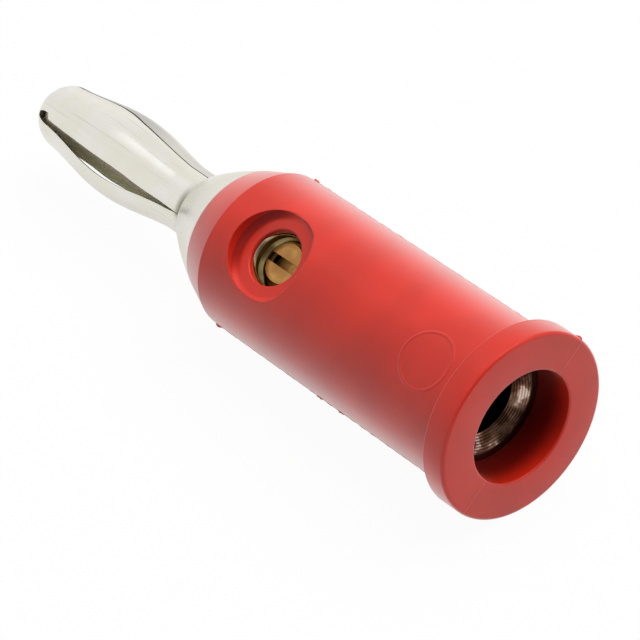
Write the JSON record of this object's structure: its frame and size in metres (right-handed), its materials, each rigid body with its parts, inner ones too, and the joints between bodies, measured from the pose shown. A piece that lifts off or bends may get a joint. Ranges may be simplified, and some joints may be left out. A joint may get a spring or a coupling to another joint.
{
  "type": "banana plug",
  "caption": "Solderless plug for test leads: sprung leaf pin on a turned barrel in a red insulating sleeve, with a set screw in the side that clamps the wire.",
  "frame": {"origin": "centre of the flat rear face of the insulator's flange, on which the plug stands", "axes": "+Z runs along the plug from the rear face to the tip of the pin, and the hole of the set screw faces -Y"},
  "size_m": [0.0104, 0.0104, 0.0392],
  "materials": {
    "red_plastic": "smooth moulding with a soft gloss",
    "nickel_plate": "bright nickel plating over turned brass",
    "spring_nickel": "bright nickel plating over formed sheet",
    "screw_brass": "bare machined brass"
  },
  "bodies": {
    "plug": {"insulator": "red_plastic", "barrel": "nickel_plate", "contact_spring": "spring_nickel"},
    "screw": {"set_screw": "screw_brass"}
  },
  "joints": [
    {"name": "set_screw_travel", "type": "slide", "parent": "plug", "child": "screw", "axis": [0, -1, 0], "range_m": [0, 0.00698]}
  ]
}
